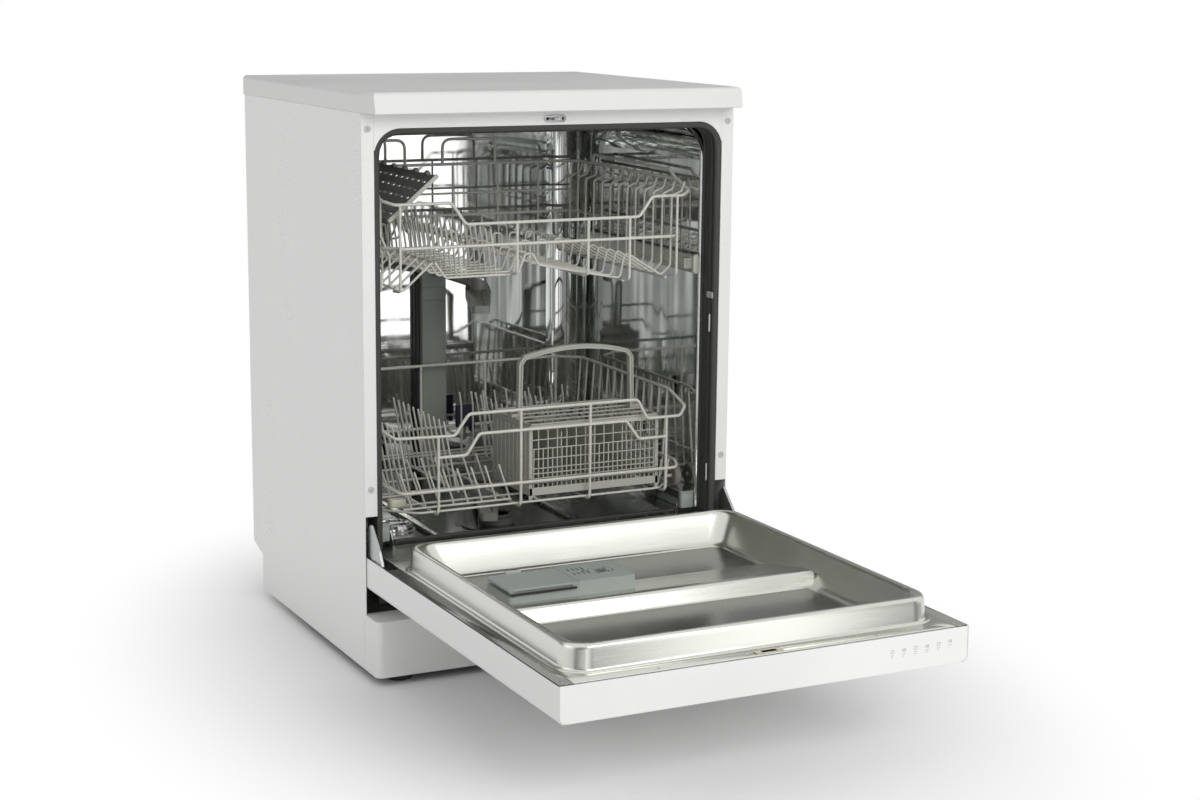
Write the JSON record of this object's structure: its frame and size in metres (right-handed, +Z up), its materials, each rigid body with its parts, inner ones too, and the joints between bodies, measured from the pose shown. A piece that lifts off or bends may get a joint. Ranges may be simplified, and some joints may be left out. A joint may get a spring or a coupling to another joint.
{
  "type": "dishwasher",
  "caption": "Free-standing white dishwasher with a drop-down door, steel tub, sliding wire racks, spray arms, cutlery basket and detergent dispenser.",
  "frame": {"origin": "on the floor under the middle of the cabinet", "axes": "+X to the right seen from the front, +Y to the back, +Z up"},
  "size_m": [0.598, 1.181, 0.85],
  "materials": {
    "white_worktop": "white laminate on board",
    "white_paint": "white gloss paint on steel sheet",
    "white_plastic": "white moulded plastic",
    "polished_stainless": "polished stainless steel",
    "satin_stainless": "satin stainless steel",
    "zinc_steel": "zinc plated steel",
    "black_steel": "black painted steel",
    "gasket_rubber": "dark grey rubber",
    "black_plastic": "black moulded plastic",
    "grey_plastic": "mid grey moulded plastic",
    "dark_grey_plastic": "dark grey moulded plastic",
    "light_grey_plastic": "light grey moulded plastic",
    "coated_wire": "nylon coated steel wire",
    "cream_plastic": "cream moulded plastic",
    "pump_metal": "cast aluminium"
  },
  "bodies": {
    "cabinet": {"worktop": "white_worktop", "side_panel_left": "white_paint", "side_panel_right": "white_paint", "back_panel": "zinc_steel", "front_header": "white_paint", "tub_wrapper": "polished_stainless", "tub_back_wall": "polished_stainless", "tub_floor": "polished_stainless", "runner_ledges": "polished_stainless", "sill_seal": "gasket_rubber", "door_gasket": "gasket_rubber", "plinth": "white_plastic", "base_tray": "black_plastic", "inlet_valve": "white_plastic", "drain_spigot": "black_plastic", "sump": "dark_grey_plastic", "filter_plate": "satin_stainless", "salt_reservoir": "light_grey_plastic", "circulation_pump": "pump_metal", "feed_duct": "grey_plastic", "hinge_brackets": "black_steel", "door_striker": "zinc_steel", "panel_screws": "zinc_steel", "rail_supports": "light_grey_plastic"},
    "door": {"hinge_arms": "zinc_steel", "door_outer_panel": "white_paint", "control_fascia": "white_plastic", "door_latch": "black_plastic", "door_liner": "satin_stainless", "dispenser_body": "grey_plastic"},
    "upper_rack": {"upper_basket": "coated_wire", "upper_rails": "satin_stainless", "rail_caps": "light_grey_plastic", "feed_tube": "grey_plastic"},
    "lower_rack": {"lower_basket": "coated_wire"},
    "cutlery_box": {"cutlery_basket": "light_grey_plastic", "cutlery_handle": "light_grey_plastic"},
    "filter_cup": {"filter_cup": "dark_grey_plastic"},
    "salt_cap": {"salt_cap": "light_grey_plastic"},
    "lower_spray_arm": {"lower_spray_arm": "grey_plastic"},
    "upper_spray_arm": {"upper_spray_arm": "grey_plastic"},
    "detergent_lid": {"detergent_lid": "grey_plastic"},
    "lid_catch": {"lid_catch": "light_grey_plastic"},
    "rinse_aid_cap": {"rinse_aid_cap": "dark_grey_plastic"},
    "power_button": {"power_button": "light_grey_plastic"},
    "programme_button": {"programme_button": "light_grey_plastic"},
    "start_button": {"start_button": "light_grey_plastic"},
    "cup_shelf": {"cup_shelf": "dark_grey_plastic"},
    "folding_tines": {"folding_tines": "coated_wire"},
    "cutlery_grid": {"cutlery_grid": "light_grey_plastic"},
    "roller_left": {"roller_left": "cream_plastic"},
    "roller_right": {"roller_right": "cream_plastic"},
    "foot_front_left": {"foot_front_left": "black_plastic"},
    "foot_front_right": {"foot_front_right": "black_plastic"},
    "foot_rear_left": {"foot_rear_left": "black_plastic"},
    "foot_rear_right": {"foot_rear_right": "black_plastic"},
    "wheel_front_left": {"wheel_front_left": "cream_plastic"},
    "wheel_front_right": {"wheel_front_right": "cream_plastic"},
    "wheel_rear_left": {"wheel_rear_left": "cream_plastic"},
    "wheel_rear_right": {"wheel_rear_right": "cream_plastic"}
  },
  "joints": [
    {"name": "door_hinge", "type": "hinge", "parent": "cabinet", "child": "door", "pos_m": [0, -0.242, 0.181], "axis": [1, 0, 0], "range_deg": [-90, 0]},
    {"name": "upper_rack_slide", "type": "slide", "parent": "cabinet", "child": "upper_rack", "axis": [0, -1, 0], "range_m": [0, 0.28]},
    {"name": "lower_rack_slide", "type": "slide", "parent": "cabinet", "child": "lower_rack", "axis": [0, -1, 0], "range_m": [0, 0.45]},
    {"name": "lower_arm_spin", "type": "hinge", "parent": "cabinet", "child": "lower_spray_arm", "pos_m": [0, 0.01265, 0.205], "axis": [0, 0, 1], "continuous": true},
    {"name": "upper_arm_spin", "type": "hinge", "parent": "upper_rack", "child": "upper_spray_arm", "pos_m": [0, 0.04175, 0.5138], "axis": [0, 0, 1], "continuous": true},
    {"name": "detergent_lid_hinge", "type": "hinge", "parent": "door", "child": "detergent_lid", "pos_m": [-0.2115, -0.52, 0.2035], "axis": [0, 1, 0], "range_deg": [-100, 0]},
    {"name": "lid_catch_slide", "type": "slide", "parent": "door", "child": "lid_catch", "axis": [0, 1, 0], "range_m": [0, 0.003], "stiffness_N_per_m": 200},
    {"name": "rinse_aid_cap_twist", "type": "hinge", "parent": "door", "child": "rinse_aid_cap", "pos_m": [-0.06, -0.517, 0.203], "axis": [0, 0, 1], "range_deg": [0, 90]},
    {"name": "cup_shelf_hinge", "type": "hinge", "parent": "upper_rack", "child": "cup_shelf", "pos_m": [-0.2418, -0.03, 0.66], "axis": [0, -1, 0], "range_deg": [-40, 50]},
    {"name": "folding_tines_hinge", "type": "hinge", "parent": "lower_rack", "child": "folding_tines", "pos_m": [0.106, 0.1399, 0.22855], "axis": [1, 0, 0], "range_deg": [0, 80]},
    {"name": "cutlery_lift", "type": "slide", "parent": "lower_rack", "child": "cutlery_box", "axis": [0, 0, 1], "range_m": [0, 0.045]},
    {"name": "cutlery_grid_lift", "type": "slide", "parent": "cutlery_box", "child": "cutlery_grid", "axis": [0, 0, 1], "range_m": [0, 0.06]},
    {"name": "filter_twist", "type": "hinge", "parent": "cabinet", "child": "filter_cup", "pos_m": [-0.04, -0.12, 0.18], "axis": [0, 0, 1], "range_deg": [0, 90]},
    {"name": "salt_cap_twist", "type": "hinge", "parent": "cabinet", "child": "salt_cap", "pos_m": [-0.194, -0.089, 0.185], "axis": [0, 0, 1], "continuous": true},
    {"name": "power_button_press", "type": "slide", "parent": "door", "child": "power_button", "axis": [0, 0, 1], "range_m": [0, 0.002], "stiffness_N_per_m": 300},
    {"name": "programme_button_press", "type": "slide", "parent": "door", "child": "programme_button", "axis": [0, 0, 1], "range_m": [0, 0.002], "stiffness_N_per_m": 300},
    {"name": "start_button_press", "type": "slide", "parent": "door", "child": "start_button", "axis": [0, 0, 1], "range_m": [0, 0.002], "stiffness_N_per_m": 300},
    {"name": "foot_front_left_screw", "type": "slide", "parent": "cabinet", "child": "foot_front_left", "axis": [0, 0, -1], "range_m": [0, 0.025]},
    {"name": "foot_front_right_screw", "type": "slide", "parent": "cabinet", "child": "foot_front_right", "axis": [0, 0, -1], "range_m": [0, 0.025]},
    {"name": "foot_rear_left_screw", "type": "slide", "parent": "cabinet", "child": "foot_rear_left", "axis": [0, 0, -1], "range_m": [0, 0.025]},
    {"name": "foot_rear_right_screw", "type": "slide", "parent": "cabinet", "child": "foot_rear_right", "axis": [0, 0, -1], "range_m": [0, 0.025]},
    {"name": "roller_left_spin", "type": "hinge", "parent": "cabinet", "child": "roller_left", "pos_m": [-0.2615, -0.176, 0.577], "axis": [1, 0, 0], "range_deg": [0, 1470]},
    {"name": "roller_right_spin", "type": "hinge", "parent": "cabinet", "child": "roller_right", "pos_m": [0.2615, -0.176, 0.577], "axis": [1, 0, 0], "range_deg": [0, 1470]},
    {"name": "wheel_front_left_roll", "type": "hinge", "parent": "lower_rack", "child": "wheel_front_left", "pos_m": [-0.255, -0.15, 0.2343], "axis": [1, 0, 0], "range_deg": [0, 1530]},
    {"name": "wheel_front_right_roll", "type": "hinge", "parent": "lower_rack", "child": "wheel_front_right", "pos_m": [0.255, -0.15, 0.2343], "axis": [1, 0, 0], "range_deg": [0, 1530]},
    {"name": "wheel_rear_left_roll", "type": "hinge", "parent": "lower_rack", "child": "wheel_rear_left", "pos_m": [-0.255, 0.15, 0.2343], "axis": [1, 0, 0], "range_deg": [0, 1530]},
    {"name": "wheel_rear_right_roll", "type": "hinge", "parent": "lower_rack", "child": "wheel_rear_right", "pos_m": [0.255, 0.15, 0.2343], "axis": [1, 0, 0], "range_deg": [0, 1530]}
  ],
  "couplings": [
    {"joint": "roller_left_spin", "follows": "upper_rack_slide", "rad_per_m": 90.909},
    {"joint": "roller_right_spin", "follows": "upper_rack_slide", "rad_per_m": 90.909},
    {"joint": "wheel_front_left_roll", "follows": "lower_rack_slide", "rad_per_m": 58.824},
    {"joint": "wheel_front_right_roll", "follows": "lower_rack_slide", "rad_per_m": 58.824},
    {"joint": "wheel_rear_left_roll", "follows": "lower_rack_slide", "rad_per_m": 58.824},
    {"joint": "wheel_rear_right_roll", "follows": "lower_rack_slide", "rad_per_m": 58.824}
  ]
}
